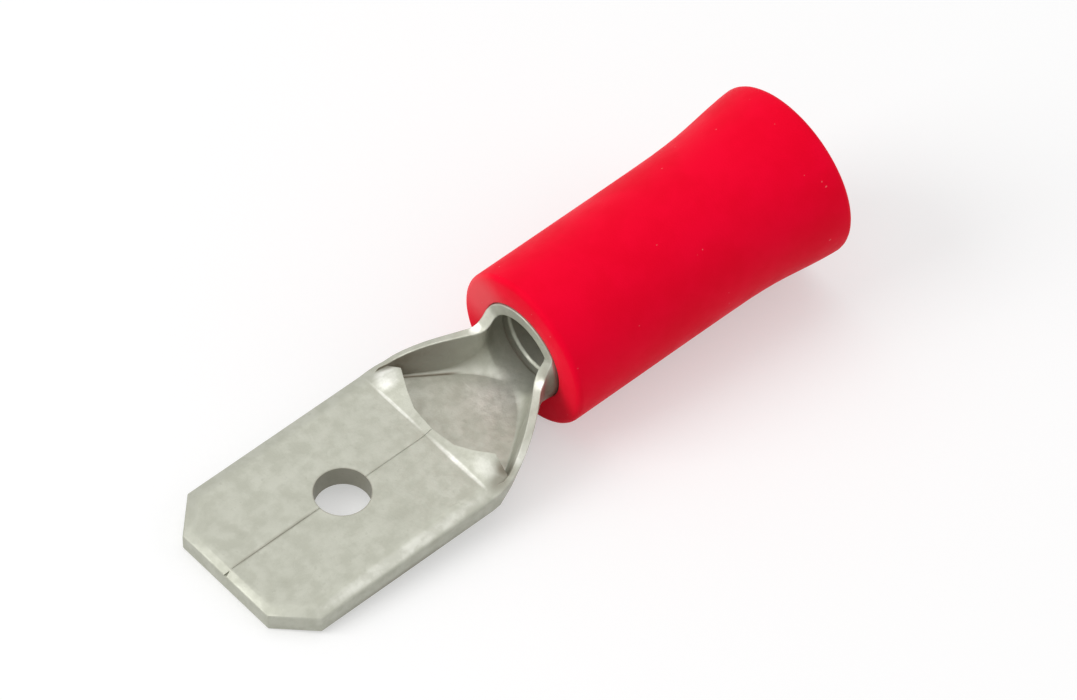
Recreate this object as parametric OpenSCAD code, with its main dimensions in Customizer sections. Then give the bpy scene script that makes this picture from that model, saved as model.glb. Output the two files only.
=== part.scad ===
// Male spade terminal: a tab folded from one sheet, with a crimp barrel in a moulded sleeve.
// Built along +X from the tip to the wire end, then laid on the table as it comes to rest.
// All sizes in millimetres.

/* [Parts] */
// Which piece to show

/* [Sheet] */
// Thickness of the sheet that the whole terminal is folded from
sheet = 0.4; // [0.32:0.02:0.46]
// Gap of the seam where the two folded leaves meet
seam_gap = 0.05; // [0.03:0.01:0.12]

/* [Tab] */
// Width of the tab that goes into the receptacle
tab_width = 6.3; // [5.8:0.1:7]
// From the tip to the crease where the leaf ends lift
tab_length = 8; // [7.4:0.1:9]
// Leg of the cut corners at the tip
corner_cut = 1.15; // [0.6:0.05:1.6]
// Width of the coined bevel along both sides
side_bevel = 0.42; // [0.2:0.02:0.6]
// Width of the coined bevel round the tip
tip_bevel = 0.32; // [0.2:0.02:0.6]
// How far the coined bevel drops at the edge
bevel_drop = 0.15; // [0.05:0.01:0.25]
// Small bevel on the lower edges
lower_bevel = 0.08; // [0.04:0.01:0.14]
// Width of the notch where the seam runs out at the tip
notch_width = 0.34; // [0.1:0.02:0.6]
// Length of that notch
notch_length = 0.36; // [0.1:0.02:0.6]

/* [Detent hole] */
// Diameter of the detent hole
hole_d = 1.8; // [1.4:0.05:2.2]
// From the tip to the middle of the detent hole
hole_from_tip = 4.66; // [3.6:0.02:5.4]

/* [Lifted leaf ends] */
// Angle at which the leaf ends rise behind the crease
leaf_rise = 25; // [10:1:32]
// Length of the lifted leaf beside the seam
leaf_at_seam = 0.26; // [0.15:0.01:0.5]
// Length of the lifted leaf at its raised corner
leaf_at_corner = 0.9; // [0.6:0.02:1.05]
// From the seam to the raised corner of a leaf
leaf_corner_out = 2.2; // [1.9:0.05:2.4]

/* [Neck] */
// From the crease to the narrowest place of the neck
neck_length = 3.45; // [3:0.05:4.5]
// Width at the narrowest place of the neck
neck_width = 2.96; // [2.7:0.02:3.2]
// Height of the side walls at the neck
wall_neck = 1.95; // [1.7:0.05:2.2]
// Outward lean of the side walls halfway along
wall_lean = 20; // [5:1:26]
// Outer bend radius between floor and walls halfway along
bend_r = 0.52; // [0.48:0.01:0.7]

/* [Crimp barrel] */
// Outer diameter of the rolled barrel
barrel_od = 3.36; // [3.2:0.02:3.6]
// Length of the rolled barrel
barrel_length = 6; // [4.6:0.1:7.5]
// From the neck to the front edge of the closed barrel
barrel_lead = 0.42; // [0.3:0.02:0.7]
// Number of grip grooves inside the barrel
grooves = 3; // [1:1:4]
// Width of a grip groove
groove_width = 0.3; // [0.15:0.05:0.5]
// Depth of a grip groove
groove_depth = 0.07; // [0.03:0.01:0.12]
// Depth of the closed seam line along the top of the barrel
barrel_seam = 0.05; // [0.02:0.01:0.1]

/* [Insulating sleeve] */
// Length of the sleeve behind the barrel, with room for the wire's own insulation
wire_room = 5.2; // [5.2:0.1:7]
// How far the sleeve stops short of the front edge of the barrel
sleeve_setback = 0.03; // [0:0.01:0.3]
// Outer diameter of the straight part
sleeve_od = 5.4; // [5.2:0.05:5.7]
// Outer diameter of the flared wire end
flare_od = 6.08; // [5.9:0.02:6.6]
// Length over which the wire end flares
flare_length = 3.4; // [3:0.1:4]
// Radius of the outer edge at the front
front_edge_r = 0.2; // [0.1:0.05:0.45]
// Radius of both edges of the wire end
rear_edge_r = 0.22; // [0.1:0.02:0.24]
// Play between the barrel and the sleeve round it
sleeve_play = 0.02; // [0.01:0.01:0.06]
// Lead-in chamfer of the sleeve at its front
mouth_chamfer = 0.08; // [0.04:0.01:0.3]
// Wall of the straight part behind the barrel
sleeve_wall = 0.55; // [0.5:0.05:0.7]
// Wall of the flared wire end
flare_wall = 0.6; // [0.5:0.02:0.66]
// Length of the funnel that leads the wire into the barrel
funnel_length = 0.9; // [0.6:0.05:1.1]

/* [Hidden] */
eps = 0.01;
tab_t = 2 * sheet;
half_w = tab_width / 2;
neck_x = tab_length + neck_length;
barrel_x = neck_x + barrel_lead;
barrel_end = barrel_x + barrel_length;
barrel_r = barrel_od / 2;
bore_r = barrel_r - sheet;
axis_z = barrel_r;
sleeve_x = barrel_x + sleeve_setback;
sleeve_end = barrel_end + wire_room;
sleeve_length = sleeve_end - sleeve_x;
sleeve_r = sleeve_od / 2;
flare_r = flare_od / 2;
entry_r = sleeve_r - sleeve_wall;
entry_mouth_r = flare_r - flare_wall;
sleeve_bore_r = barrel_r + sleeve_play;
shoulder_x = tab_length + 0.3;
wall_x = tab_length + 0.9;
wall_start = tab_t - eps;
arc_steps = 12;
rise = tan(leaf_rise);

// The table touches the lower edge of the tip and the lowest edge of the sleeve.
function rest_angle(x, z, r) = atan2(-z, x - lower_bevel) + asin(r / norm([x - lower_bevel, z]));
rest_tilt = max(
    rest_angle(sleeve_x + front_edge_r, axis_z - sleeve_r + front_edge_r, front_edge_r),
    rest_angle(sleeve_end - rear_edge_r, axis_z - flare_r + rear_edge_r, rear_edge_r)
);
// How far the laid part reaches along the table, before it is centred
reach_low = -lower_bevel * cos(rest_tilt) - (tab_t - bevel_drop) * sin(rest_tilt);
reach_high = (sleeve_end - rear_edge_r - lower_bevel) * cos(rest_tilt)
    - (axis_z - flare_r + rear_edge_r) * sin(rest_tilt) + rear_edge_r;

function clamp01(t) = min(1, max(0, t));
function ease(t) = clamp01(t) * clamp01(t) * (3 - 2 * clamp01(t));
function arc(cx, cz, r, a0, a1, n) =
    [for (i = [0:n]) [cx + r * cos(a0 + (a1 - a0) * i / n), cz + r * sin(a0 + (a1 - a0) * i / n)]];

// Sizes of the cross-section of the neck at a distance x from the tip
function along(x) = clamp01((x - shoulder_x) / (neck_x - shoulder_x));
function past_neck(x) = clamp01((x - neck_x) / (barrel_lead - 0.05));
function raw_half(x) = half_w - (half_w - neck_width / 2) * pow(along(x), 1.75)
    + (barrel_r - neck_width / 2) * ease(past_neck(x));
function top_half(x) = (raw_half(x - 0.1) + 2 * raw_half(x) + raw_half(x + 0.1)) / 4;
function wall_u(x) = clamp01((x - wall_x) / (neck_x - wall_x));
function wall_top(x) = wall_start + (wall_neck - wall_start)
    * (0.84 * wall_u(x) + 0.16 * pow(wall_u(x), 6)) + 0.6 * past_neck(x);
function bend(x) = 90 - wall_lean * sin(180 * along(x)) + 32 * past_neck(x);
function corner_r(x) = lower_bevel + (bend_r - lower_bevel) * ease((x - tab_length) / 1.1)
    + (neck_width / 2 - bend_r) * pow(along(x), 5) + (barrel_r - eps - neck_width / 2) * ease(past_neck(x));
function flat_half(x) = past_neck(x) > 0 ? eps
    : max(eps, top_half(x) - wall_top(x) / tan(bend(x)) - corner_r(x) * tan(bend(x) / 2));

// One half of the bent sheet in cross-section: outer face upwards, then inner face back
function half_section(x, thick, inset) = let (
        b = bend(x), r = corner_r(x) - inset, ri = max(0.05, r - thick), f = flat_half(x),
        fi = f + (r - thick - ri) * tan(b / 2), z0 = inset,
        h = wall_top(x) - bevel_drop * (1 - ease((x - tab_length) / 1.2)),
        reach = max(0.02, (h - z0 - r * (1 - cos(b))) / sin(b)),
        outer = concat([for (p = arc(f, z0 + r, r, -90, b - 90, arc_steps)) p],
            [[f + r * sin(b) + reach * cos(b), z0 + r * (1 - cos(b)) + reach * sin(b)]]),
        tip = outer[len(outer) - 1],
        lift = bevel_drop * (1 - ease((x - tab_length) / 1.2)),
        inner = concat([[tip[0] - thick * sin(b) + lift * cos(b), tip[1] + thick * cos(b) + lift * sin(b)]],
            [for (p = arc(fi, z0 + thick + ri, ri, b - 90, -90, arc_steps)) p])
    ) concat(outer, inner);

module at_rest() {
    translate([-(reach_low + reach_high) / 2, 0, 0])
        rotate([0, -rest_tilt, 0])
            translate([-lower_bevel, 0, 0])
                children();
}

// A closed skin over bent-sheet sections: outer face first, then the inner face back
module loft(sections) {
    n = len(sections[0]);
    m = len(sections);
    last = (m - 1) * n;
    polyhedron(
        points = [for (s = sections) for (p = s) p],
        faces = concat(
            [for (i = [0:n / 2 - 2]) [i, i + 1, n - 2 - i, n - 1 - i]],
            [for (i = [0:n / 2 - 2]) [m * n - 1 - i, m * n - 2 - i, last + i + 1, last + i]],
            [for (j = [0:m - 2]) for (i = [0:n - 1])
                [j * n + i, (j + 1) * n + i, (j + 1) * n + (i + 1) % n]],
            [for (j = [0:m - 2]) for (i = [0:n - 1])
                [j * n + i, (j + 1) * n + (i + 1) % n, j * n + (i + 1) % n]]
        ),
        convexity = 6
    );
}

// Profile across the thickness: coined bevel above, small bevel below
module edge_profile(reach, bevel) {
    polygon([
        [-reach, lower_bevel], [-reach + lower_bevel, 0], [reach - lower_bevel, 0],
        [reach, lower_bevel], [reach, tab_t - bevel_drop], [reach - bevel, tab_t],
        [-reach + bevel, tab_t], [-reach, tab_t - bevel_drop]
    ]);
}

// The tab as folded, before the seam and the hole
module tab_blank() {
    back = tab_length;
    diagonal = (half_w - corner_cut) / sqrt(2);
    intersection() {
        linear_extrude(tab_t)
            polygon([
                [0, corner_cut - half_w], [corner_cut, -half_w], [back, -half_w],
                [back, half_w], [corner_cut, half_w], [0, half_w - corner_cut]
            ]);
        translate([-1, 0, 0])
            rotate([90, 0, 90])
                linear_extrude(back + 2)
                    edge_profile(half_w, side_bevel);
        translate([back, half_w + 1, 0])
            rotate([90, 0, 0])
                linear_extrude(tab_width + 2)
                    edge_profile(back, tip_bevel);
        for (side = [-1, 1])
            translate([back, 0, 0])
                rotate([0, 0, 45 * side])
                    translate([0, tab_width * 2, 0])
                        rotate([90, 0, 0])
                            linear_extrude(tab_width * 4)
                                edge_profile((back + half_w - corner_cut) / sqrt(2), tip_bevel);
    }
}

// A bent plate from rows of points on its upper face, with its thickness straight down
module plate(rows, thick) {
    w = len(rows[0]);
    m = len(rows);
    n = w * m;
    top = [for (r = rows) for (p = r) p];
    rim = concat(
        [for (i = [0:w - 2]) i], [for (j = [0:m - 2]) j * w + w - 1],
        [for (i = [w - 1:-1:1]) (m - 1) * w + i], [for (j = [m - 1:-1:1]) j * w]
    );
    polyhedron(
        points = concat(top, [for (p = top) p - [0, 0, thick]]),
        faces = concat(
            [for (j = [0:m - 2]) for (i = [0:w - 2]) let (a = j * w + i) [a, a + 1, a + w]],
            [for (j = [0:m - 2]) for (i = [0:w - 2]) let (a = j * w + i) [a + 1, a + w + 1, a + w]],
            [for (j = [0:m - 2]) for (i = [0:w - 2]) let (a = n + j * w + i) [a, a + w, a + 1]],
            [for (j = [0:m - 2]) for (i = [0:w - 2]) let (a = n + j * w + i) [a + 1, a + w, a + w + 1]],
            [for (i = [0:len(rim) - 1]) let (a = rim[i], b = rim[(i + 1) % len(rim)]) [b, a, n + a, n + b]]
        )
    );
}

// One lifted leaf end, on the side of +Y: it rises from the crease to its free edge
module leaf_end() {
    out = [0, 0.2, 0.42, 0.7, 1];
    grow = [0, 0.06, 0.14, 0.52, 1];
    y = [for (k = out) seam_gap / 2 + (leaf_corner_out - seam_gap / 2) * k];
    free = [for (k = grow) leaf_at_seam + (leaf_at_corner - leaf_at_seam) * k];
    wall_in = half_w - sheet + 0.06;
    plate([
        concat([for (v = y) [tab_length - 0.05, v, tab_t - eps]], [[tab_length - 0.05, wall_in - 0.1, tab_t - eps]]),
        concat([for (v = y) [tab_length, v, tab_t]], [[tab_length, wall_in - 0.1, tab_t]]),
        concat([for (i = [0:len(y) - 1]) [tab_length + free[i], y[i], tab_t + free[i] * rise]],
            [[tab_length + leaf_at_corner - 0.03, wall_in, wall_start]])
    ], sheet / cos(leaf_rise));
}

// Floor and side walls that narrow from the tab to the barrel
module neck() {
    xs = concat(
        [tab_length - 0.2, tab_length, tab_length + 0.04],
        [for (i = [1:4]) tab_length + i * 0.22],
        [for (i = [0:12]) tab_length + 1.1 + i * (neck_length - 1.1) / 13],
        [for (i = [0:6]) neck_x + i * (barrel_lead - 0.05) / 6]
    );
    body = [for (x = xs) let (tuck = 2 * eps * past_neck(x) + (x > tab_length ? 0 : 3 * eps))
        cross_points(x, half_section(x, sheet - 2 * tuck, tuck))];
    tail = [cross_points(barrel_x + 0.15, half_section(barrel_x, sheet - 8 * eps, 4 * eps))];
    loft(concat(body, tail));
}

// The half section and its mirror image, as one closed ring of points
function cross_points(x, s) = let (h = len(s) / 2) concat(
    [for (i = [h - 1:-1:0]) [x, -s[i][0], s[i][1]]],
    [for (p = s) [x, p[0], p[1]]],
    [for (i = [2 * h - 1:-1:h]) [x, -s[i][0], s[i][1]]]
);

module barrel() {
    translate([barrel_x, 0, axis_z])
        rotate([0, 90, 0])
            difference() {
                cylinder(r = barrel_r, h = barrel_length, $fn = 72);
                translate([0, 0, -1])
                    cylinder(r = bore_r, h = barrel_length + 2, $fn = 72);
                pitch = (barrel_length - 1.6) / max(1, grooves - 1);
                for (i = [0:grooves - 1])
                    translate([0, 0, 0.4 + i * pitch])
                        cylinder(r = bore_r + groove_depth, h = groove_width, $fn = 72);
                translate([-barrel_r, 0, -1])
                    rotate([0, 0, 45])
                        translate([-barrel_seam, -barrel_seam, 0])
                            cube([2 * barrel_seam, 2 * barrel_seam, barrel_length + 2]);
            }
}

module terminal() {
    color([0.78, 0.78, 0.73])
        at_rest() {
            difference() {
                union() {
                    tab_blank();
                    for (side = [0, 1])
                        mirror([0, side, 0])
                            leaf_end();
                }
                translate([-1, -seam_gap / 2, sheet])
                    cube([tab_length + leaf_at_seam + 2, seam_gap, tab_t]);
                translate([0, 0, sheet * 0.6])
                    linear_extrude(tab_t)
                        polygon([[-1, -notch_width], [-1, notch_width],
                            [0, notch_width / 2], [notch_length, 0], [0, -notch_width / 2]]);
                translate([hole_from_tip, 0, -1])
                    cylinder(d = hole_d, h = tab_t + 2, $fn = 64);
            }
            neck();
            barrel();
        }
}

module insulating_sleeve() {
    run = sleeve_length;
    start = run - flare_length;
    stop = barrel_end - sleeve_x + 0.1;
    outer = concat(
        [for (p = arc(front_edge_r, sleeve_r - front_edge_r, front_edge_r, 180, 90, 6)) p],
        [for (i = [0:12]) [start + (flare_length - rear_edge_r) * i / 12,
            sleeve_r + (flare_r - sleeve_r) * ease(i / 12)]],
        [for (i = [1:6]) [run - rear_edge_r + rear_edge_r * sin(15 * i),
            flare_r - rear_edge_r + rear_edge_r * cos(15 * i)]]
    );
    inner = concat(
        [for (p = arc(run - rear_edge_r, entry_mouth_r + rear_edge_r, rear_edge_r, 0, -90, 5)) p],
        [for (i = [1:6]) [run - rear_edge_r - (flare_length - rear_edge_r) * i / 6,
            entry_mouth_r + (entry_r - entry_mouth_r) * ease(i / 6)]],
        [[stop + funnel_length, entry_r], [stop, sleeve_bore_r],
            [mouth_chamfer, sleeve_bore_r], [0, sleeve_bore_r + mouth_chamfer]]
    );
    color([0.88, 0.05, 0.08])
        at_rest()
            translate([sleeve_x, 0, axis_z])
                rotate([0, 90, 0])
                    rotate_extrude($fn = 72)
                        polygon([for (p = concat(outer, inner)) [p[1], p[0]]]);
}

terminal();
insulating_sleeve();
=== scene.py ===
import bpy
import bmesh
import math
from mathutils import Matrix, Vector


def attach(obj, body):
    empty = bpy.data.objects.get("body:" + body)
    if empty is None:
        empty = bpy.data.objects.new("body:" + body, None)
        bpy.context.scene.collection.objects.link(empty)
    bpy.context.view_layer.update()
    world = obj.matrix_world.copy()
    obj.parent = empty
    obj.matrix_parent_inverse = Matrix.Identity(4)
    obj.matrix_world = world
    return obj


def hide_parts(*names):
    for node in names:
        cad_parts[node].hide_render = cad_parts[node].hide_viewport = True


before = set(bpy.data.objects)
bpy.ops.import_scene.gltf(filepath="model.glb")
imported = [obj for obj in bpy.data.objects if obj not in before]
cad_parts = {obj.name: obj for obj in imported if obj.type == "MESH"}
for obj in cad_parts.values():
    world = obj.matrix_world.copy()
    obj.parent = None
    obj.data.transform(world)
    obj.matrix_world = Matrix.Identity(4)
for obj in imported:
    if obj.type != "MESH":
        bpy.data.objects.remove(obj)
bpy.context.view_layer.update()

print("frame loaded")

# The pieces are drawn in millimetres along the terminal's own axis, x from the tip of the tab and
# z from its underside. layDown turns them to how the part lies on the table, in metres.
lay = {"rise": 4.85382, "lowerBevel": 0.08, "shift": 11.435}


def layDown(piece):
    start = Matrix.Translation((-lay["lowerBevel"], 0, 0))
    turn = Matrix.Rotation(math.radians(-lay["rise"]), 4, "Y")
    move = Matrix.Translation((-lay["shift"], 0, 0))
    piece.data.transform(Matrix.Scale(0.001, 4) @ move @ turn @ start)


# small helpers for edit mode
def startOn(piece):
    if bpy.context.object and bpy.context.object.mode != "OBJECT":
        bpy.ops.object.mode_set(mode="OBJECT")
    bpy.ops.object.select_all(action="DESELECT")
    piece.select_set(True)
    bpy.context.view_layer.objects.active = piece


def pick(kind, test):
    bpy.context.tool_settings.mesh_select_mode = (kind == "verts", kind == "edges", kind == "faces")
    bpy.ops.mesh.select_all(action="DESELECT")
    mesh = bpy.context.object.data
    bm = bmesh.from_edit_mesh(mesh)
    bm.select_mode = {{"verts": "VERT", "edges": "EDGE", "faces": "FACE"}[kind]}
    for item in getattr(bm, kind):
        if test(item):
            item.select_set(True)
    bm.select_flush_mode()
    bmesh.update_edit_mesh(mesh)


def middle(item):
    return sum((v.co for v in item.verts), Vector()) / len(item.verts)


def near(a, b, room=0.004):
    return abs(a - b) < room


def applyModifier(piece, kind, **values):
    startOn(piece)
    mod = piece.modifiers.new(kind.lower(), kind)
    for name, value in values.items():
        setattr(mod, name, value)
    bpy.ops.object.modifier_apply(modifier=mod.name)


def tidyMesh(room=0.002):
    bpy.ops.mesh.select_all(action="SELECT")
    bpy.ops.mesh.remove_doubles(threshold=room)
    bpy.ops.mesh.select_all(action="SELECT")
    bpy.ops.mesh.normals_make_consistent(inside=False)


# tab: one half, mirrored, then the hole, the notch and the seam are cut
tab = {
    "length": 8, "halfWidth": 3.15, "thick": 0.8, "cornerCut": 1.15,
    "tipBevel": 0.32, "sideBevel": 0.42, "bevelDrop": 0.15, "lowerBevel": 0.08,
    "footEdge": 0.07, "topEdge": 0.09, "creaseEdge": 0.05,
    "holeRadius": 0.9, "holeAt": 4.66,
    # reach behind the tip, half width at the tip, depth
    "notch": (0.2, 0.06, 0.19),
    # width and depth of the seam, its depth between the lifted leaf ends, depth of the rolled lips,
    # radius and flatness of their cutter, and how far the lips end before the crease
    "seam": (0.014, 0.035), "leafSeam": 0.3, "lipDepth": 0.026, "lipCutter": (0.2, 0.45), "lipEnd": 0.04,
    # the leaf end in columns from the middle outwards: place, free length, rise in degrees
    "leafColumns": (0, 0.46, 0.94, 1.55, 2.2), "leafFree": (0.26, 0.3, 0.35, 0.59, 0.9),
    "leafRise": (15, 15, 17, 21, 26),
    # its outer strip: how far inside the coined bevel it starts, its end at the wall (x behind the crease,
    # y, z), the foot of the ridge on the bevel, and how far in and down the strip's rim lies at the wall
    "leafInset": 0.13, "leafWall": (0.87, 2.71, 0.79), "leafRidge": 3.06, "rimIn": 0.13, "rimDown": 0.03,
}


def makeTab():
    length, half, thick, sheet = tab["length"], tab["halfWidth"], tab["thick"], tab["thick"] / 2
    bpy.ops.object.select_all(action="DESELECT")
    bpy.ops.mesh.primitive_cube_add(size=1, location=(length / 2, half / 2, sheet),
                                    scale=(length, half, thick))
    piece = bpy.context.object
    piece.name = "foldedTab"
    bpy.ops.object.transform_apply(location=True, rotation=True, scale=True)
    bpy.ops.object.mode_set(mode="EDIT")
    # open at the crease and the middle
    pick("faces", lambda f: near(middle(f).x, length) or near(middle(f).y, 0))
    bpy.ops.mesh.delete(type="ONLY_FACE")
    pick("edges", lambda e: near(middle(e).x, 0) and near(middle(e).y, half))  # cut corner of the tip
    bpy.ops.mesh.bevel(offset=tab["cornerCut"], segments=1, affect="EDGES")
    pick("faces", lambda f: f.normal.z > 0.9)  # coined bevel round the top
    bpy.ops.mesh.inset(thickness=tab["tipBevel"], use_boundary=False, use_even_offset=True)
    wider = tab["sideBevel"] - tab["tipBevel"]
    inner = half - tab["tipBevel"]
    pick("verts", lambda v: near(v.co.z, thick) and near(v.co.y, inner) and near(v.co.x, length))
    bpy.ops.transform.translate(value=(0, -wider, 0))
    pick("verts", lambda v: near(v.co.z, thick) and near(v.co.y, inner) and v.co.x < length - 1)
    bpy.ops.transform.translate(value=(-wider, -wider, 0))
    diagonal = half - tab["cornerCut"]
    pick("verts", lambda v: near(v.co.z, thick) and (near(v.co.x, 0) or near(v.co.y, half)))
    bpy.ops.transform.translate(value=(0, 0, -tab["bevelDrop"]))
    pick("edges", lambda e: all(near(v.co.z, 0) for v in e.verts) and (
        all(near(v.co.x, 0) for v in e.verts) or all(near(v.co.y, half) for v in e.verts)
        or (near(middle(e).x, tab["cornerCut"] / 2) and near(middle(e).y, (half + diagonal) / 2))))
    bpy.ops.mesh.bevel(offset=tab["lowerBevel"], segments=2, affect="EDGES")
    # the foot and the top of the coined bevel are soft
    pick("edges", lambda e: all(near(v.co.z, thick - tab["bevelDrop"]) for v in e.verts))
    bpy.ops.mesh.bevel(offset=tab["footEdge"], segments=3, affect="EDGES")
    pick("edges", lambda e: all(near(v.co.z, thick) for v in e.verts) and not e.is_boundary)
    bpy.ops.mesh.bevel(offset=tab["topEdge"], segments=3, affect="EDGES")
    # back of the tab, with the upper layer pulled on as the lifted leaf end
    pick("edges", lambda e: e.is_boundary and all(near(v.co.x, length) for v in e.verts))
    bpy.ops.mesh.edge_face_add()
    bpy.ops.mesh.bisect(plane_co=(0, 0, sheet), plane_no=(0, 0, 1))
    leafEdge = half - tab["sideBevel"]
    inner, outer = leafEdge - tab["leafInset"], tab["leafRidge"]
    for y in tab["leafColumns"][1:] + (inner, outer):
        pick("faces", lambda f: (near(middle(f).x, length) and middle(f).z > sheet) or (
            f.normal.z > 0.99 and f.calc_area() > 1 and y < outer))
        bpy.ops.mesh.bisect(plane_co=(0, y, 0), plane_no=(0, 1, 0))
    first = tab["leafFree"][0]
    pulled = lambda v: v.co.x > length + 0.1
    between = lambda v: pulled(v) and inner - 0.01 < v.co.y < outer - 0.01
    pick("faces", lambda f: near(middle(f).x, length) and middle(f).z > sheet and middle(f).y < outer)
    bpy.ops.mesh.extrude_region_move(TRANSFORM_OT_translate={"value": (first, 0, 0)})
    for y, free, rise in zip(tab["leafColumns"], tab["leafFree"], tab["leafRise"]):
        pick("verts", lambda v: pulled(v) and near(v.co.y, y))
        bpy.ops.transform.translate(value=(free - first, 0, free * math.tan(math.radians(rise))))
    # outside the raised corner the leaf bends down again into the wall, over a ridge back to the crease
    out, side, top = tab["leafWall"]
    drop = tab["bevelDrop"] * (outer - leafEdge) / tab["sideBevel"]
    pick("verts", lambda v: between(v) and v.co.z > sheet + 0.1)
    bpy.ops.mesh.merge(type="CENTER")
    pick("verts", between)
    bpy.ops.transform.translate(value=(out - first, side - inner, top - thick))
    pick("verts", lambda v: pulled(v) and near(v.co.y, outer))
    bpy.ops.transform.translate(value=(out - first, -tab["rimIn"], top - tab["rimDown"] - thick + drop))
    corner = length + tab["leafFree"][4]
    isCorner = lambda v: (near(v.co.x, corner) and near(v.co.y, tab["leafColumns"][4])
                          and v.co.z > thick + 0.2)
    isCrease = lambda v: near(v.co.x, length) and near(v.co.y, inner) and near(v.co.z, thick)
    isRidge = lambda v: near(v.co.x, length) and near(v.co.y, outer) and near(v.co.z, thick - drop, 0.02)
    pick("verts", lambda v: isCorner(v) or isCrease(v))
    bpy.ops.mesh.vert_connect()
    pick("edges", lambda e: any(near(v.co.x, length) for v in e.verts) and middle(e).z > thick - 0.1
         and any(v.co.x > length + 0.5 for v in e.verts)
         and inner - 0.01 < min(v.co.y for v in e.verts) < outer - 0.15)
    bpy.ops.mesh.dissolve_edges(use_verts=False)
    pick("verts", lambda v: isCorner(v) or isRidge(v))
    bpy.ops.mesh.vert_connect()
    pick("faces", lambda f: all(near(v.co.y, 0) for v in f.verts))
    bpy.ops.mesh.delete(type="ONLY_FACE")
    pick("edges", lambda e: all(near(v.co.x, length) and near(v.co.z, thick) for v in e.verts)
         and middle(e).y < inner)
    bpy.ops.mesh.bevel(offset=tab["creaseEdge"], segments=3, affect="EDGES")
    bpy.ops.object.mode_set(mode="OBJECT")
    applyModifier(piece, "MIRROR", use_axis=(False, True, False), merge_threshold=0.002)
    bpy.ops.object.mode_set(mode="EDIT")
    tidyMesh()
    bpy.ops.object.mode_set(mode="OBJECT")
    return piece


def cutFrom(piece, cutter):
    applyModifier(piece, "BOOLEAN", operation="DIFFERENCE", solver="MANIFOLD", object=cutter)
    bpy.data.objects.remove(cutter)


def cutTab(piece):
    bpy.ops.mesh.primitive_cylinder_add(vertices=64, radius=tab["holeRadius"], depth=3,
                                        location=(tab["holeAt"], 0, 0))
    cutFrom(piece, bpy.context.object)
    reach, side, deep = tab["notch"]
    bpy.ops.mesh.primitive_cylinder_add(vertices=3, radius=1, depth=1,
                                        location=(0, 0, tab["thick"] - deep + 0.5))
    wedge = bpy.context.object
    bpy.ops.object.mode_set(mode="EDIT")
    pick("verts", lambda v: True)
    # the wedge's base, three times side wide, lies half its reach before the tip
    bpy.ops.transform.resize(value=(side * 3 / math.sqrt(3), reach, 1), center_override=(0, 0, 0))
    bpy.ops.object.mode_set(mode="OBJECT")
    wedge.rotation_euler = (0, 0, math.radians(-90))
    bpy.ops.object.transform_apply(rotation=True)
    cutFrom(piece, wedge)


def cutSeam(piece):
    length, thick = tab["length"], tab["thick"]
    wide, deep = tab["seam"]
    for x0, x1, depth in ((-1, length, deep), (length - 0.01, length + 1, tab["leafSeam"])):
        bpy.ops.mesh.primitive_cube_add(size=1, location=((x0 + x1) / 2, 0, thick - depth + 0.5),
                                        scale=(x1 - x0, wide, 1))
        cutFrom(piece, bpy.context.object)
    # the lips of the two leaves roll over into the seam
    radius, flat = tab["lipCutter"]
    bpy.ops.mesh.primitive_cylinder_add(
        vertices=4, radius=radius, depth=length + 1, rotation=(0, math.pi / 2, 0), scale=(flat, 1, 1),
        location=((length - 1) / 2 - tab["lipEnd"], 0, thick - tab["lipDepth"] + radius * flat))
    cutFrom(piece, bpy.context.object)


# neck and barrel: cross-sections drawn with a pen, then bridged
neck = {
    "sheet": 0.4, "arcSteps": 14,
    # x, half width of the floor, bend radius, angle and length of the wall, lift of its inner edge, how much
    # the sheet is thinned at both faces, how much thinner the wall is at its top
    "sections": (
        (7.9, 3.066, 0.08, 90, 0.556, 0.15, 0.004, 0), (8.0, 3.066, 0.08, 90, 0.556, 0.15, 0.004, 0),
        (8.3, 2.989, 0.16, 90, 0.503, 0.127, 0, 0.08), (8.6, 2.743, 0.33, 84.1, 0.421, 0.075, 0, 0.2),
        (8.9, 2.505, 0.482, 78.7, 0.386, 0.023, 0, 0.2), (9.2, 2.314, 0.522, 74.4, 0.544, 0, 0, 0.17),
        (9.5, 2.118, 0.528, 71.4, 0.697, 0, 0, 0.14), (9.8, 1.901, 0.544, 70.1, 0.826, 0, 0, 0.11),
        (10.1, 1.671, 0.578, 70.5, 0.918, 0, 0, 0.09), (10.4, 1.425, 0.646, 72.7, 0.96, 0, 0, 0.07),
        (10.7, 1.145, 0.766, 76.4, 0.941, 0, 0, 0.06), (10.95, 0.86, 0.925, 80.4, 0.865, 0, 0, 0.05),
        (11.2, 0.492, 1.155, 85.1, 0.716, 0, 0, 0.04), (11.325, 0.27, 1.325, 87.5, 0.583, 0, 0, 0.02),
        (11.45, 0.13, 1.445, 90.5, 0.492, 0, 0, 0), (11.52, 0.09, 1.49, 94.7, 0.4445, 0, 0, 0),
        (11.59, 0.06, 1.535, 99.3, 0.379, 0, 0, 0), (11.66, 0.035, 1.585, 104.0, 0.302, 0, 0, 0),
        (11.73, 0.015, 1.633, 108.7, 0.22, 0, 0, 0), (11.8, 0.005, 1.667, 113.3, 0.152, 0, 0, 0),
        (11.87, 0.0, 1.68, 118.0, 0.117, 0, 0, 0),
    ),
    # front rim of the barrel: steps of its arcs, and the angle from the floor at which they begin
    "rimSteps": 10, "rimFrom": 122.6,
    "barrelEnd": 17.87, "grooves": ((12.27, 12.57), (14.47, 14.77), (16.67, 16.97)),
    "grooveDepth": 0.07, "grooveEdge": 0.05,
}
pen = {}


def penDown(x, y, z):
    bpy.ops.mesh.primitive_plane_add(size=0.1, location=(x, y, z))
    bpy.ops.mesh.merge(type="CENTER")
    pen.update(x=x, y=y, z=z)


def penTo(y, z):
    bpy.ops.mesh.extrude_region_move(TRANSFORM_OT_translate={"value": (0, y - pen["y"], z - pen["z"])})
    pen.update(y=y, z=z)


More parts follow.
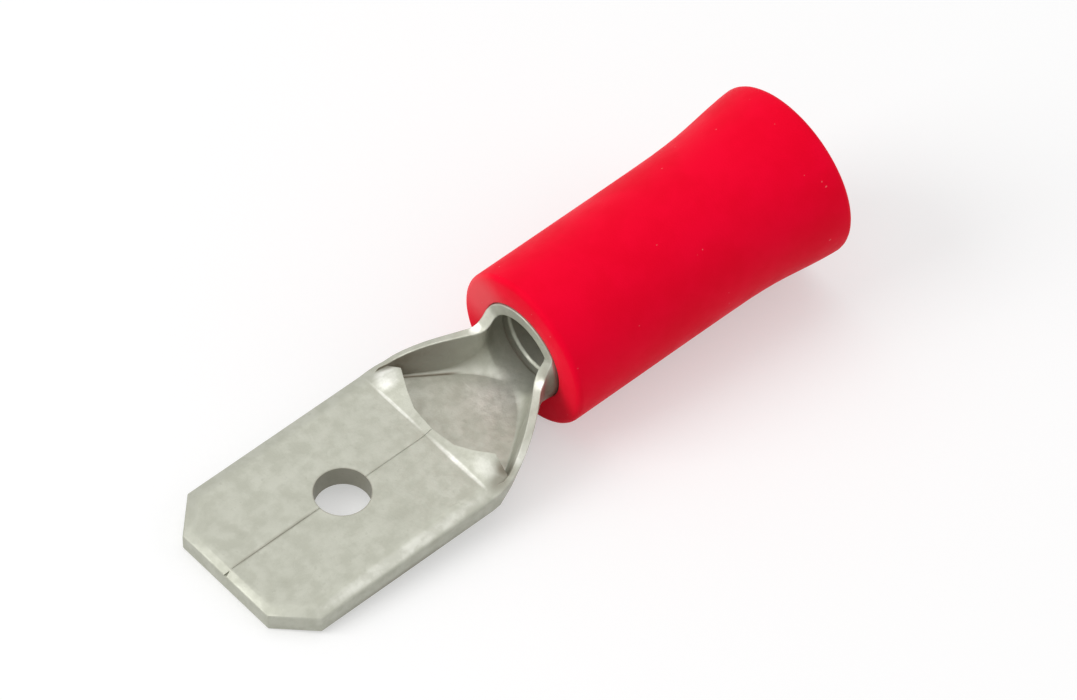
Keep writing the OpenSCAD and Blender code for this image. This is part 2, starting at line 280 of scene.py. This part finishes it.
def penArc(y, z, angle, steps):
    bpy.ops.mesh.spin(steps=steps, angle=math.radians(angle), center=(pen["x"], y, z), axis=(-1, 0, 0))
    a = math.radians(angle)
    dy, dz = pen["y"] - y, pen["z"] - z
    pen.update(y=y + dy * math.cos(a) - dz * math.sin(a), z=z + dy * math.sin(a) + dz * math.cos(a))


def drawSection(x, floor, radius, lean, wall, lift, tuck, thin):
    t = neck["sheet"] - 2 * tuck
    b = math.radians(lean)
    inner = max(0.05, radius - t)
    innerFloor = floor + (radius - t - inner) * math.tan(b / 2)
    penDown(x, 0, tuck)
    penTo(floor, tuck)
    penArc(floor, tuck + radius, lean, neck["arcSteps"])
    penTo(pen["y"] + wall * math.cos(b), pen["z"] + wall * math.sin(b))
    top = t - thin
    penTo(pen["y"] - top * math.sin(b) + lift * math.cos(b),
          pen["z"] + top * math.cos(b) + lift * math.sin(b))
    penTo(innerFloor + inner * math.sin(b), tuck + t + inner * (1 - math.cos(b)))
    penArc(innerFloor, tuck + t + inner, -lean, neck["arcSteps"])
    penTo(0, tuck + t)


def makeNeck():
    sheet = neck["sheet"]
    bpy.ops.object.select_all(action="DESELECT")
    bpy.ops.mesh.primitive_plane_add(size=0.1)
    piece = bpy.context.object
    piece.name = "neckAndBarrel"
    bpy.ops.object.mode_set(mode="EDIT")
    pick("verts", lambda v: True)
    bpy.ops.mesh.delete(type="VERT")
    for section in neck["sections"]:
        drawSection(*section)
    places = [s[0] for s in neck["sections"]]
    for x0, x1 in zip(places, places[1:]):
        pick("edges", lambda e: all(near(v.co.x, x0) for v in e.verts)
             or all(near(v.co.x, x1) for v in e.verts))
        bpy.ops.mesh.bridge_edge_loops()
    pick("verts", lambda v: near(v.co.x, places[0]))
    bpy.ops.mesh.edge_face_add()
    # front rim of the barrel: the walls go on round to the closed seam at the top
    front, back = places[-1], neck["barrelEnd"]
    _, floor, radius, lean, wall = neck["sections"][-1][:5]
    b = math.radians(lean)
    outer = Vector((floor + radius * math.sin(b) + wall * math.cos(b),
                    radius * (1 - math.cos(b)) + wall * math.sin(b)))
    inner = outer + Vector((-sheet * math.sin(b), sheet * math.cos(b)))
    for corner in (outer, inner):
        turned = math.atan2(corner.x - floor, radius - corner.y)
        pick("verts", lambda v: near(v.co.x, front) and near(v.co.y, corner.x) and near(v.co.z, corner.y))
        bpy.ops.mesh.spin(steps=neck["rimSteps"], angle=math.pi - turned, center=(front, floor, radius),
                          axis=(-1, 0, 0))
    acrossSheet = lambda e: near((e.verts[0].co - e.verts[1].co).length, sheet, 0.02)
    pick("edges", lambda e: all(near(v.co.x, front) for v in e.verts)
         and not (acrossSheet(e) and middle(e).y > 0.1))
    bpy.ops.mesh.extrude_region_move(TRANSFORM_OT_translate={"value": (back - front, 0, 0)})
    onRim = lambda e: math.atan2(middle(e).y - floor, radius - middle(e).z) > math.radians(neck["rimFrom"])
    for end in (front, back):
        pick("edges", lambda e: all(near(v.co.x, end) for v in e.verts) and (end == back or onRim(e))
             and not acrossSheet(e))
        bpy.ops.mesh.bridge_edge_loops()
    bpy.ops.object.mode_set(mode="OBJECT")
    applyModifier(piece, "MIRROR", use_axis=(False, True, False), merge_threshold=0.002)
    bpy.ops.object.mode_set(mode="EDIT")
    tidyMesh()
    # grip grooves inside the barrel
    away = lambda v: math.hypot(v.co.y - floor, v.co.z - radius)
    inBore = lambda f: all(away(v) < radius - sheet + 0.03 for v in f.verts)
    for x0, x1 in neck["grooves"]:
        for x in (x0, x1):
            pick("faces", lambda f: middle(f).x > front and inBore(f))
            bpy.ops.mesh.bisect(plane_co=(x, 0, 0), plane_no=(1, 0, 0))
        pick("faces", lambda f: x0 < middle(f).x < x1 and inBore(f))
        bpy.ops.mesh.inset(thickness=neck["grooveEdge"], depth=-neck["grooveDepth"], use_boundary=False)
    bpy.ops.object.mode_set(mode="OBJECT")
    return piece


tabPiece = makeTab()
cutTab(tabPiece)
applyModifier(tabPiece, "BEVEL", width=0.03, segments=2, limit_method="ANGLE", angle_limit=math.radians(32))
cutSeam(tabPiece)
print("tab", len(tabPiece.data.polygons))
neckPiece = makeNeck()
applyModifier(neckPiece, "BEVEL", width=0.05, segments=3, limit_method="ANGLE", angle_limit=math.radians(50))
print("neck and barrel", len(neckPiece.data.polygons))
startOn(tabPiece)
neckPiece.select_set(True)
bpy.ops.object.join()
terminal = bpy.context.object
terminal.name = "foldedTerminal"
startOn(terminal)
bpy.ops.object.shade_smooth_by_angle(angle=math.radians(40))
applyModifier(terminal, "WEIGHTED_NORMAL", keep_sharp=True)
layDown(terminal)
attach(terminal, "root")
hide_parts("terminal")
print("terminal", len(terminal.data.polygons))

# sleeve: one ring drawn along the profile, outside to the wire end and back inside
sleeve = {
    "front": 11.9, "axis": 1.68, "seat": 1.7, "segments": 96,
    "frontEdge": 0.2, "rearEdge": 0.22, "mouth": 0.07, "face": 2.2, "rimLip": 0.045,
    "outside": ((11.9, 2.7), (14, 2.7), (17, 2.7), (18.5, 2.705), (19.4, 2.715), (19.9, 2.735), (20.4, 2.768),
                (20.9, 2.818), (21.4, 2.882), (21.9, 2.947), (22.3, 2.992), (22.6, 3.02), (22.85, 3.035)),
    "inside": ((22.4, 2.415), (21.6, 2.33), (20.6, 2.19), (19.6, 2.15), (18.9, 2.15), (17.95, 1.7)),
}


def ringTo(ring, x, r):
    bpy.ops.mesh.extrude_region_move(TRANSFORM_OT_translate={"value": (x - ring["x"], 0, 0)})
    bpy.ops.transform.resize(value=(1, r / ring["r"], r / ring["r"]), center_override=(x, 0, sleeve["axis"]))
    ring.update(x=x, r=r)


def makeSleeve():
    front, seat, mouth = sleeve["front"], sleeve["seat"], sleeve["mouth"]
    quarter = [math.radians(18 * step) for step in range(6)]  # steps of a rounded edge
    bpy.ops.object.select_all(action="DESELECT")
    bpy.ops.mesh.primitive_circle_add(vertices=sleeve["segments"], radius=seat, fill_type="NOTHING",
                                      location=(front + mouth, 0, sleeve["axis"]),
                                      rotation=(0, math.pi / 2, 0))
    piece = bpy.context.object
    piece.name = "insulatingSleeve"
    bpy.ops.object.transform_apply(location=True, rotation=True)
    bpy.ops.object.mode_set(mode="EDIT")
    pick("verts", lambda v: True)
    ring = {"x": front + mouth, "r": seat}
    ringTo(ring, front + 0.02, seat + 0.02)
    ringTo(ring, front, seat + mouth)
    ringTo(ring, front, sleeve["face"])
    edge, outside = sleeve["frontEdge"], sleeve["outside"]
    for a in quarter:
        ringTo(ring, front + edge * (1 - math.cos(a)), outside[0][1] - edge * (1 - math.sin(a)))
    for x, r in outside[1:]:
        ringTo(ring, x, r)
    edge = sleeve["rearEdge"]
    x0, r0 = outside[-1]
    for a in quarter[1:]:  # rounded rim of the wire end, outside and inside
        ringTo(ring, x0 + edge * math.sin(a), r0 - edge * (1 - math.cos(a)))
    inner = sleeve["inside"][0][1] + sleeve["rimLip"]
    for a in quarter:
        ringTo(ring, x0 + edge * math.cos(a), inner + edge * (1 - math.sin(a)))
    for x, r in sleeve["inside"]:
        ringTo(ring, x, r)
    ringTo(ring, front + mouth, seat)
    tidyMesh(room=0.001)
    bpy.ops.object.mode_set(mode="OBJECT")
    bpy.ops.object.shade_smooth_by_angle(angle=math.radians(35))
    return piece


sleevePiece = makeSleeve()
layDown(sleevePiece)
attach(sleevePiece, "root")
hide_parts("insulating_sleeve")
print("sleeve", len(sleevePiece.data.polygons))

# finishes: small helpers for shader nodes
def addNode(tree, kind, **values):
    node = tree.nodes.new(kind)
    for name, value in values.items():
        setattr(node, name, value)
    return node


def joinSockets(tree, *pairs):
    for source, target in pairs:
        tree.links.new(source, target)


def feed(tree, value, socket):
    # a colour or a number is set on the socket, another node's output is linked to it
    if isinstance(value, tuple):
        socket.default_value = (*value, 1)
    elif isinstance(value, (int, float)):
        socket.default_value = value
    else:
        tree.links.new(value, socket)


def reckon(tree, operation, a, b=0):
    node = addNode(tree, "ShaderNodeMath", operation=operation)
    feed(tree, a, node.inputs[0])
    feed(tree, b, node.inputs[1])
    return node.outputs[0]


def mixColour(tree, mask, a, b):
    mix = addNode(tree, "ShaderNodeMix", data_type="RGBA")
    feed(tree, mask, mix.inputs["Factor"])
    feed(tree, a, mix.inputs["A"])
    feed(tree, b, mix.inputs["B"])
    return mix.outputs["Result"]


def smoothBand(tree, value, low, high, falling=False):
    # a soft step from low to high, up from 0 to 1 or down from 1 to 0
    band = addNode(tree, "ShaderNodeMapRange", interpolation_type="SMOOTHSTEP")
    for given, name in ((value, "Value"), (low, "From Min"), (high, "From Max"),
                        (int(falling), "To Min"), (int(not falling), "To Max")):
        feed(tree, given, band.inputs[name])
    return band.outputs["Result"]


def newGroup(name, **inputs):
    # a group that makes a mask from a place in the drawing, in millimetres
    group = bpy.data.node_groups.new(name, "ShaderNodeTree")
    group.interface.new_socket(name="Place", in_out="INPUT", socket_type="NodeSocketVector")
    for socket, value in inputs.items():
        kind = "NodeSocketVector" if isinstance(value, tuple) else "NodeSocketFloat"
        group.interface.new_socket(name=socket, in_out="INPUT", socket_type=kind).default_value = value
    group.interface.new_socket(name="Mask", in_out="OUTPUT", socket_type="NodeSocketFloat")
    return group, addNode(group, "NodeGroupInput").outputs, addNode(group, "NodeGroupOutput").inputs


def noiseGroup():
    # soft patches between Low and High
    group, given, result = newGroup("clouds", Scale=1.0, Detail=4.0, Low=0.35, High=0.65, Stretch=(1, 1, 1))
    spread = addNode(group, "ShaderNodeVectorMath", operation="MULTIPLY")
    noise = addNode(group, "ShaderNodeTexNoise")
    noise.inputs["Roughness"].default_value = 0.58
    joinSockets(group, (given["Place"], spread.inputs[0]), (given["Stretch"], spread.inputs[1]),
                (spread.outputs[0], noise.inputs["Vector"]), (given["Scale"], noise.inputs["Scale"]),
                (given["Detail"], noise.inputs["Detail"]),
                (smoothBand(group, noise.outputs["Fac"], given["Low"], given["High"]), result["Mask"]))
    return group


def spotGroup():
    # a soft round spot, full within Edge and gone at 1, measured in shrunken millimetres
    group, given, result = newGroup("placedSpot", Middle=(0, 0, 0), Shrink=(1, 1, 1), Edge=0.4)
    away = addNode(group, "ShaderNodeVectorMath", operation="SUBTRACT")
    shrink = addNode(group, "ShaderNodeVectorMath", operation="MULTIPLY")
    size = addNode(group, "ShaderNodeVectorMath", operation="LENGTH")
    joinSockets(group, (given["Place"], away.inputs[0]), (given["Middle"], away.inputs[1]),
                (away.outputs[0], shrink.inputs[0]), (given["Shrink"], shrink.inputs[1]),
                (shrink.outputs[0], size.inputs[0]),
                (smoothBand(group, size.outputs["Value"], given["Edge"], 1, falling=True), result["Mask"]))
    return group


def inwardGroup():
    # painted shade on the left faces that look inwards over the middle of the terminal
    group, given, result = newGroup("inwardShade", Low=0.6, High=2.3)
    facing = addNode(group, "ShaderNodeTexCoord")
    spot, turn = addNode(group, "ShaderNodeSeparateXYZ"), addNode(group, "ShaderNodeSeparateXYZ")
    joinSockets(group, (given["Place"], spot.inputs[0]), (facing.outputs["Normal"], turn.inputs[0]))
    left = reckon(group, "MAXIMUM", spot.outputs["Y"], 0)
    inward = reckon(group, "MULTIPLY", reckon(group, "MULTIPLY", left, turn.outputs["Y"]), -1)
    joinSockets(group, (smoothBand(group, inward, given["Low"], given["High"]), result["Mask"]))
    return group


def lineGroup():
    # a thin straight line across the sheet: Across is its normal, At how far along that it lies
    group, given, result = newGroup("thinLine", Across=(1, 0, 0), At=0.0, Width=0.1)
    along = addNode(group, "ShaderNodeVectorMath", operation="DOT_PRODUCT")
    joinSockets(group, (given["Place"], along.inputs[0]), (given["Across"], along.inputs[1]))
    off = reckon(group, "ABSOLUTE", reckon(group, "SUBTRACT", along.outputs["Value"], given["At"]))
    joinSockets(group, (smoothBand(group, off, 0, given["Width"], falling=True), result["Mask"]))
    return group


clouds, placedSpot, inwardShade, thinLine = noiseGroup(), spotGroup(), inwardGroup(), lineGroup()


def placeGroup(tree, group, place, **values):
    node = addNode(tree, "ShaderNodeGroup", node_tree=group)
    tree.links.new(place, node.inputs["Place"])
    for name, value in values.items():
        node.inputs[name].default_value = value
    return node.outputs["Mask"]


def placeSpots(tree, place, spots):
    # the strongest of several soft spots
    mask = 0
    for middleAt, shrink, edge, strength in spots:
        spot = placeGroup(tree, placedSpot, place, Middle=middleAt, Shrink=shrink, Edge=edge)
        mask = reckon(tree, "MAXIMUM", mask, reckon(tree, "MULTIPLY", spot, strength))
    return mask


def newMaterial(name):
    mat = bpy.data.materials.new(name)
    mat.use_nodes = True
    tree = mat.node_tree
    # object coordinates turned back to the drawing: millimetres, x from the tip of the tab
    coords = addNode(tree, "ShaderNodeTexCoord")
    turned = addNode(tree, "ShaderNodeMapping")
    rise = math.radians(lay["rise"])
    turned.inputs["Rotation"].default_value = (0, rise, 0)
    turned.inputs["Scale"].default_value = (1000, 1000, 1000)
    turned.inputs["Location"].default_value = (
        lay["shift"] * math.cos(rise) + lay["lowerBevel"], 0, -lay["shift"] * math.sin(rise))
    tree.links.new(coords.outputs["Object"], turned.inputs["Vector"])
    return mat, tree, tree.nodes["Principled BSDF"], turned.outputs["Vector"]


def roughBand(tree, mask, atNone, atFull):
    band = addNode(tree, "ShaderNodeMapRange")
    for value, name in ((mask, "Value"), (atNone, "To Min"), (atFull, "To Max")):
        feed(tree, value, band.inputs[name])
    return band.outputs["Result"]


def addBump(tree, shader, place, strength, waves):
    height = 0
    for share, values in waves:
        wave = reckon(tree, "MULTIPLY", placeGroup(tree, clouds, place, **values), share)
        height = reckon(tree, "ADD", height, wave)
    bump = addNode(tree, "ShaderNodeBump")
    bump.inputs["Strength"].default_value = strength
    bump.inputs["Distance"].default_value = 0.00002
    joinSockets(tree, (height, bump.inputs["Height"]), (bump.outputs["Normal"], shader.inputs["Normal"]))


tin = {
    "metallic": 0.66,
    "light": (0.495, 0.50, 0.43), "dull": (0.44, 0.445, 0.375), "stain": (0.28, 0.28, 0.22),
    # dark brown is the colour of the painted shade and of the seam's dark line
    "darkBrown": (0.13, 0.105, 0.068), "highlightColour": (0.86, 0.86, 0.80),
    # roughness between the patches and in them, and how much smoother the places of the painted highlights
    # are
    "roughness": (0.56, 0.46), "burnish": 0.1,
    "patches": {"Scale": 2.2, "Detail": 5.0, "Low": 0.35, "High": 0.65},
    "broad": {"Scale": 0.5, "Detail": 3.0, "Low": 0.35, "High": 0.65}, "broadShare": 0.35,
    "specks": {"Scale": 4.5, "Detail": 2.0, "Low": 0.66, "High": 0.76}, "speckShare": 0.22,
    # the patches break up the painted highlights and the painted shade: share of the patches, and share
    # everywhere
    "highlightBreak": (0.5, 0.5), "shadeBreak": (0.2, 0.78),
    # spots are given as middle, shrink, full edge and strength; these are faint stains on the tab
    "stains": (((1.35, 0.75, 0.8), (4, 2.2, 1), 0.0, 0.2),
               ((1.1, -1.5, 0.8), (3, 3, 1), 0.0, 0.2),
               ((5.6, -2.0, 0.8), (1.2, 2, 1), 0.0, 0.2)),
    # painted shadow in the pockets behind the leaf corners, painted shade on the strip outside the right one
    # and on the wall of the hole, and darker along the low right edge and at the right of the barrel's front
    "paintedDark": (((8.95, 2.6, 0.6), (1.1, 2.4, 1.9), 0.3, 1.0),  # pocket behind the left leaf corner
                  ((8.9, -2.6, 0.85), (1.9, 2.1, 1.7), 0.1, 0.95),  # pocket behind the right one
                  ((8.5, -2.85, 0.8), (1.8, 2.4, 2.5), 0.2, 0.5),  # strip outside the right one
                  ((4.66, 0, 0.3), (1.04, 1.04, 0.2), 0.93, 0.5),  # wall of the hole
                  ((4.4, -3.2, 0.0), (0.22, 6, 3.2), 0.1, 0.75),  # low right edge
                  ((11.75, -1.75, 1.5), (2.2, 1.2, 0.9), 0.4, 1.0)),  # right side of the barrel's front
    # painted highlights, on the creases partly burnished metal: lighter colour on the creases, leaf corners,
    # wall tops, right bevel, cut ends and floor
    "burnishAndHighlights": (((8.02, 1.5, 0.8), (13, 0.64, 9), 0.3, 0.75),  # left crease
                  ((8.02, -1.5, 0.8), (9, 0.56, 9), 0.3, 1.0),  # right crease
                  ((9.7, -2.6, 1.05), (0.75, 2.4, 2.8), 0.3, 0.5),  # top of the right wall
                  ((4.5, -2.93, 0.74), (0.23, 3.6, 6), 0.4, 0.4),  # right bevel
                  ((8.45, 2.35, 0.95), (1.7, 1.9, 2.2), 0.3, 1.0),  # left leaf corner
                  ((8.5, -2.2, 1.0), (1.8, 1.5, 2.0), 0.2, 0.4),  # right leaf corner
                  ((11.3, 1.5, 1.87), (3.5, 3.5, 3.5), 0.3, 1.0),  # cut ends beside the barrel
                  ((11.35, -1.5, 1.9), (3.5, 3.5, 3.5), 0.2, 0.6),
                  ((10.9, 0.0, 0.4), (0.7, 0.7, 2), 0.1, 0.5),  # floor before the barrel
                  ((10.41, 0.8, 0.4), (16, 2.6, 4), 0.0, 0.4),  # two ends of a scratch on the floor
                  ((10.5, 0.34, 0.4), (16, 2.4, 4), 0.0, 0.4)),
    # painted shade along the foot of the left wall, and a dark line along the seam: the line, and the spot
    # that bounds it
    "lines": (({"Across": (0.72, 1.0, 0.0), "At": 8.95, "Width": 0.1},
               ((9.7, 2.05, 0.45), (0.75, 0.75, 2), 0.5, 1.0)),
              ({"Across": (0.0, 1.0, 0.0), "At": 0.0, "Width": 0.09},
               ((1.9, 0.0, 0.8), (0.48, 1, 1), 0.5, 0.4))),
    "bump": 0.7,
    # share of each wave in the bump: grain, broad waves and the lines of the drawn sheet
    "waves": ((0.22, {"Scale": 9.0, "Detail": 5.0, "Low": 0.2, "High": 0.8}),
              (1.2, {"Scale": 1.1, "Detail": 2.0, "Low": 0.2, "High": 0.8}),
              (0.06, {"Scale": 3.0, "Detail": 3.0, "Low": 0.3, "High": 0.7, "Stretch": (0.25, 6, 6)})),
}


def sheetMetal():
    mat, tree, shader, place = newMaterial("tinPlate")
    shader.inputs["Metallic"].default_value = tin["metallic"]
    patches = placeGroup(tree, clouds, place, **tin["patches"])
    broad = placeGroup(tree, clouds, place, **tin["broad"])
    specks = placeGroup(tree, clouds, place, **tin["specks"])
    colour = mixColour(tree, patches, tin["dull"], tin["light"])
    colour = mixColour(tree, reckon(tree, "MULTIPLY", broad, tin["broadShare"]), colour, tin["dull"])
    colour = mixColour(tree, reckon(tree, "MULTIPLY", specks, tin["speckShare"]), colour, tin["stain"])
    for stain in tin["stains"]:
        colour = mixColour(tree, placeSpots(tree, place, (stain,)), colour, tin["stain"])
    # painted highlight, mixed towards the highlight colour
    share, rest = tin["highlightBreak"]
    broken = reckon(tree, "ADD", reckon(tree, "MULTIPLY", patches, share), rest)
    highlightMask = reckon(tree, "MULTIPLY", placeSpots(tree, place, tin["burnishAndHighlights"]), broken)
    colour = mixColour(tree, highlightMask, colour, tin["highlightColour"])
    # painted shade on the inward faces, the shaded spots and the foot line, with the seam's dark line, all
    # mixed towards dark brown
    shadeAndSeam = reckon(tree, "MAXIMUM", placeGroup(tree, inwardShade, place),
                  placeSpots(tree, place, tin["paintedDark"]))
    for line, bounds in tin["lines"]:
        mark = reckon(tree, "MULTIPLY", placeGroup(tree, thinLine, place, **line),
                      placeSpots(tree, place, (bounds,)))
        shadeAndSeam = reckon(tree, "MAXIMUM", shadeAndSeam, mark)
    share, rest = tin["shadeBreak"]
    broken = reckon(tree, "ADD", reckon(tree, "MULTIPLY", patches, share), rest)
    colour = mixColour(tree, reckon(tree, "MULTIPLY", shadeAndSeam, broken), colour, tin["darkBrown"])
    rough = reckon(tree, "SUBTRACT", roughBand(tree, patches, *tin["roughness"]),
                   reckon(tree, "MULTIPLY", highlightMask, tin["burnish"]))
    joinSockets(tree, (colour, shader.inputs["Base Color"]), (rough, shader.inputs["Roughness"]))
    addBump(tree, shader, place, tin["bump"], tin["waves"])
    return mat


vinyl = {
    "red": (0.98, 0.0, 0.028), "deep": (0.93, 0.0, 0.023), "pale": (0.95, 0.25, 0.26),
    "roughness": (0.5, 0.62), "specular": 0.03, "sheen": 0.1, "sheenRoughness": 0.4,
    "patches": {"Scale": 0.6, "Detail": 3.0, "Low": 0.35, "High": 0.65},
    "dust": {"Scale": 4.0, "Detail": 1.0, "Low": 0.778, "High": 0.8}, "dustShare": 0.6,
    # painted sheen: a pale spot on the left of the sleeve's front face
    "paintedSheen": (((11.9, 1.9, 2.5), (3, 0.6, 0.6), 0.2, 0.35),),  # the paler left of the front face
    "bump": 0.5,
    "waves": ((0.18, {"Scale": 14.0, "Detail": 3.0, "Low": 0.25, "High": 0.75}),
              (1.0, {"Scale": 0.7, "Detail": 2.0, "Low": 0.2, "High": 0.8})),
}


def redVinyl():
    mat, tree, shader, place = newMaterial("redVinyl")
    shader.inputs["Specular IOR Level"].default_value = vinyl["specular"]
    shader.inputs["Sheen Weight"].default_value = vinyl["sheen"]
    shader.inputs["Sheen Roughness"].default_value = vinyl["sheenRoughness"]
    patches = placeGroup(tree, clouds, place, **vinyl["patches"])
    dust = placeGroup(tree, clouds, place, **vinyl["dust"])
    colour = mixColour(tree, patches, vinyl["red"], vinyl["deep"])
    colour = mixColour(tree, reckon(tree, "MULTIPLY", dust, vinyl["dustShare"]), colour, vinyl["pale"])
    # painted sheen on the front face
    colour = mixColour(tree, placeSpots(tree, place, vinyl["paintedSheen"]), colour, vinyl["pale"])
    rough = roughBand(tree, patches, *vinyl["roughness"])
    joinSockets(tree, (colour, shader.inputs["Base Color"]), (rough, shader.inputs["Roughness"]))
    addBump(tree, shader, place, vinyl["bump"], vinyl["waves"])
    return mat


# each piece and the CAD node that it stands for get the same finish
for piece, node, mat in ((terminal, "terminal", sheetMetal()),
                         (sleevePiece, "insulating_sleeve", redVinyl())):
    for body in (piece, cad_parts[node]):
        body.data.materials.clear()
        body.data.materials.append(mat)
print("materials ready")

# floor, lamps and camera
studio = {"floorSize": 1.2, "floorColour": 0.64, "floorGlow": 0.41, "world": 0.52}


def whiteSeen(tree, plain, white):
    # a strength of plain as light, and of white where the camera, a gloss or a glass sees it
    path = addNode(tree, "ShaderNodeLightPath")
    seen = reckon(tree, "MAXIMUM", path.outputs["Is Camera Ray"], path.outputs["Is Glossy Ray"])
    seen = reckon(tree, "MAXIMUM", seen, path.outputs["Is Transmission Ray"])
    return reckon(tree, "ADD", reckon(tree, "MULTIPLY", seen, white - plain), plain)


bpy.ops.mesh.primitive_plane_add(size=studio["floorSize"], location=(0, 0, 0))
floor = bpy.context.object
floor.name = "floor"
floorMat = bpy.data.materials.new("paleFloor")
floorMat.use_nodes = True
tree = floorMat.node_tree
tree.nodes.clear()
out = addNode(tree, "ShaderNodeOutputMaterial")
diffuse = addNode(tree, "ShaderNodeBsdfDiffuse")
diffuse.inputs["Color"].default_value = (*[studio["floorColour"]] * 3, 1)
glow = addNode(tree, "ShaderNodeEmission")
both = addNode(tree, "ShaderNodeAddShader")
joinSockets(tree, (whiteSeen(tree, 0, studio["floorGlow"]), glow.inputs["Strength"]),
            (diffuse.outputs[0], both.inputs[0]), (glow.outputs[0], both.inputs[1]),
            (both.outputs[0], out.inputs["Surface"]))
floor.data.materials.append(floorMat)

world = bpy.data.worlds.new("studio")
bpy.context.scene.world = world
world.use_nodes = True
background = world.node_tree.nodes["Background"]
background.inputs["Color"].default_value = (1, 1, 1, 1)
joinSockets(world.node_tree,
            (whiteSeen(world.node_tree, studio["world"], 1), background.inputs["Strength"]))

lamps = {
    "key": {"place": (-0.19, 0.08, 0.14), "size": 0.15, "power": 0.29},
    "top": {"place": (0.05, 0.05, 0.30), "size": 0.26, "power": 0.15},
    "fill": {"place": (0.16, -0.14, 0.12), "size": 0.16, "power": 0.055},
}
for name, lamp in lamps.items():
    light = bpy.data.lights.new(name, "AREA")
    light.size = lamp["size"]
    light.energy = lamp["power"]
    holder = bpy.data.objects.new(name, light)
    bpy.context.collection.objects.link(holder)
    holder.location = lamp["place"]
    holder.rotation_euler = (Vector((0, 0, 0)) - holder.location).to_track_quat("-Z", "Y").to_euler()

view = {"place": (-95.1916, -92.31, 152.0583), "turn": (41.4856, -4.0467, -41.6033), "lens": 217.27}
camera = bpy.data.objects.new("camera", bpy.data.cameras.new("camera"))
bpy.context.collection.objects.link(camera)
camera.location = [v / 1000 for v in view["place"]]
camera.rotation_euler = [math.radians(a) for a in view["turn"]]
camera.data.lens = view["lens"]
camera.data.sensor_width = 36
camera.data.clip_start = 0.01
bpy.context.scene.camera = camera
bpy.context.scene.view_settings.view_transform = "Standard"
print("studio ready")
